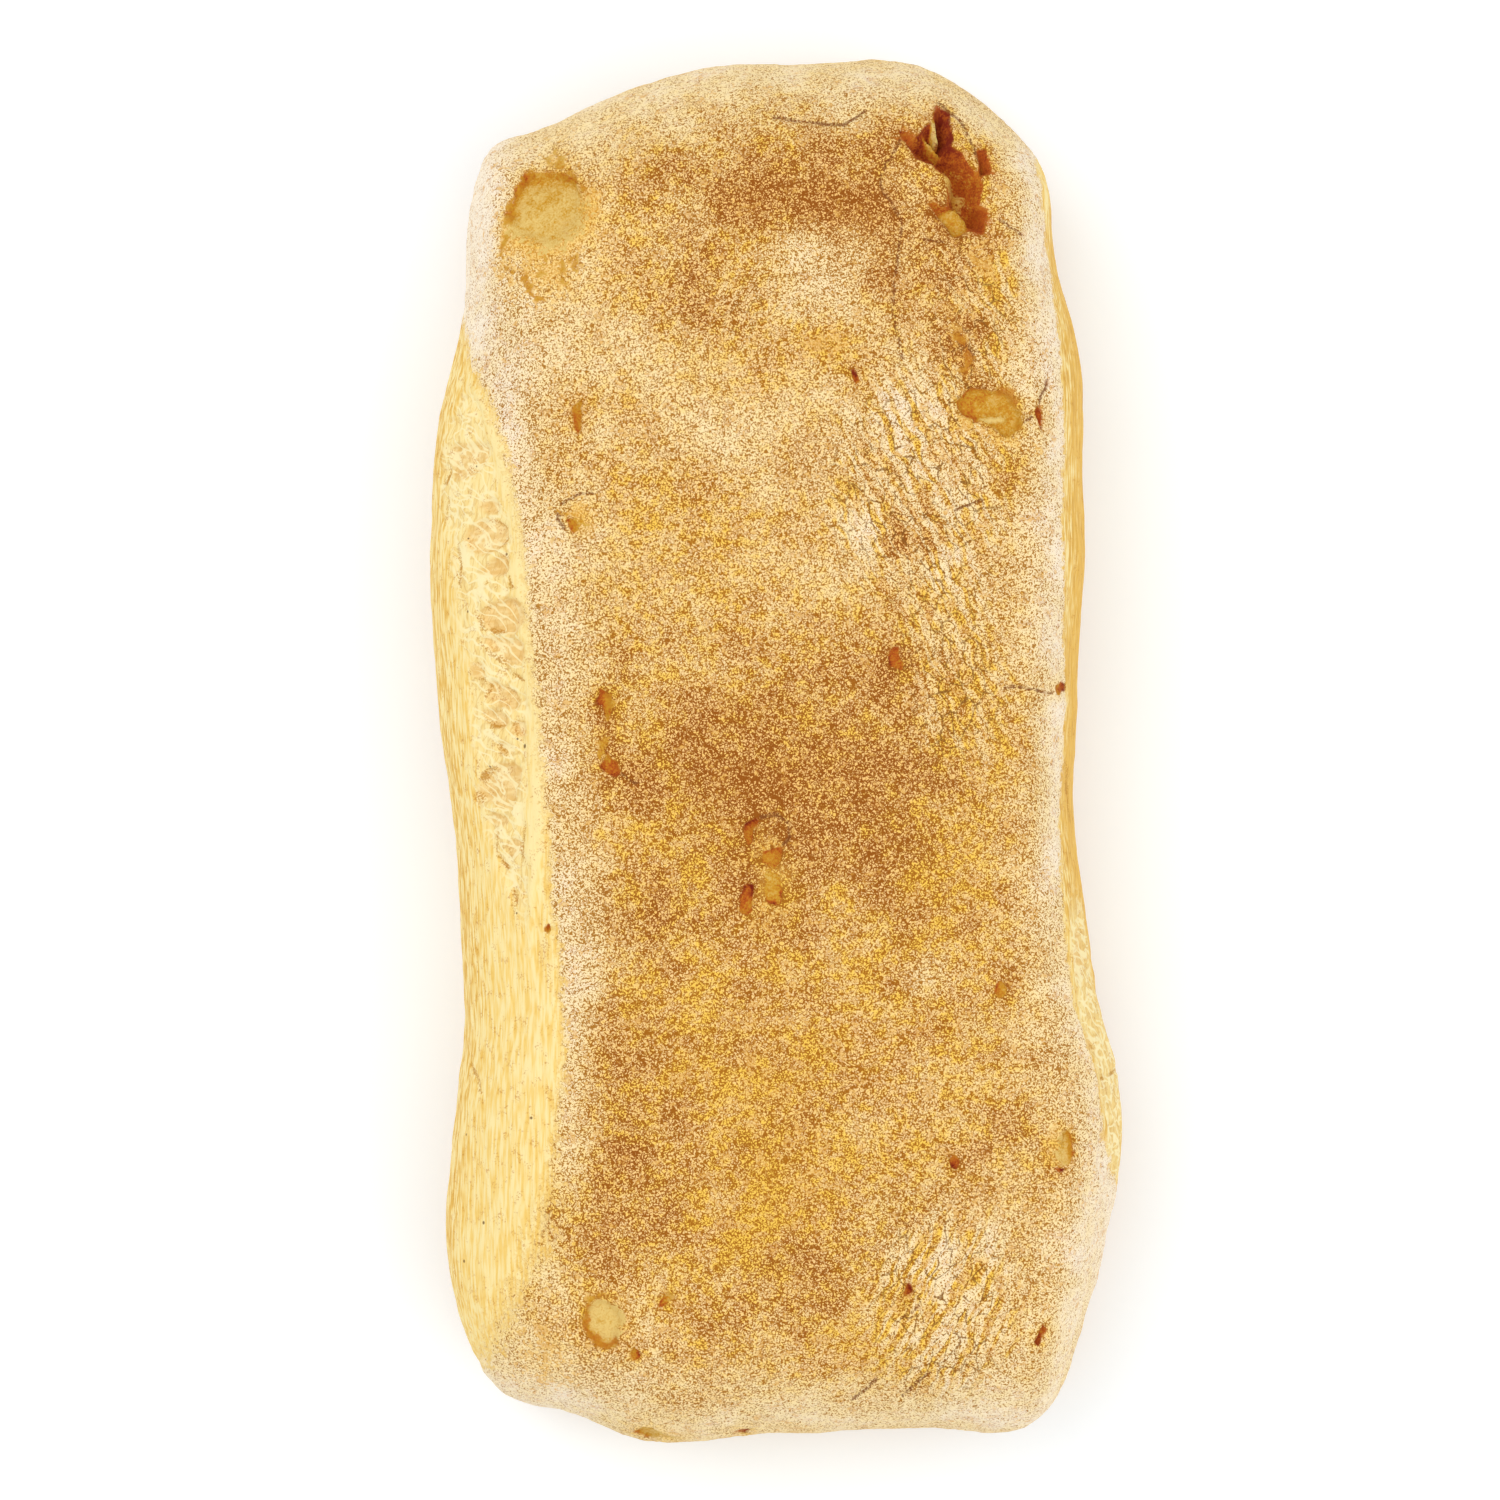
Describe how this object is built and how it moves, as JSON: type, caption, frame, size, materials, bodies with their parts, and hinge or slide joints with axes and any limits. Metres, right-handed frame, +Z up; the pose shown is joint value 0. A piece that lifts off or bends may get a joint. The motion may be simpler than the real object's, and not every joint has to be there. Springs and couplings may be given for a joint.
{
  "type": "ciabatta loaf",
  "caption": "Flat slipper-shaped bread loaf with a floured, blistered top crust, torn pale sides and a flat base to rest on.",
  "frame": {"origin": "on the table, under the middle of the loaf's bounding box", "axes": "+Y along the loaf towards its far end, +Z up, +X towards the steep side; the broad torn shoulder is on -X"},
  "size_m": [0.1408, 0.2806, 0.0617],
  "materials": {
    "crust": "matte"
  },
  "bodies": {
    "root": {"loaf": "crust"}
  },
  "joints": []
}
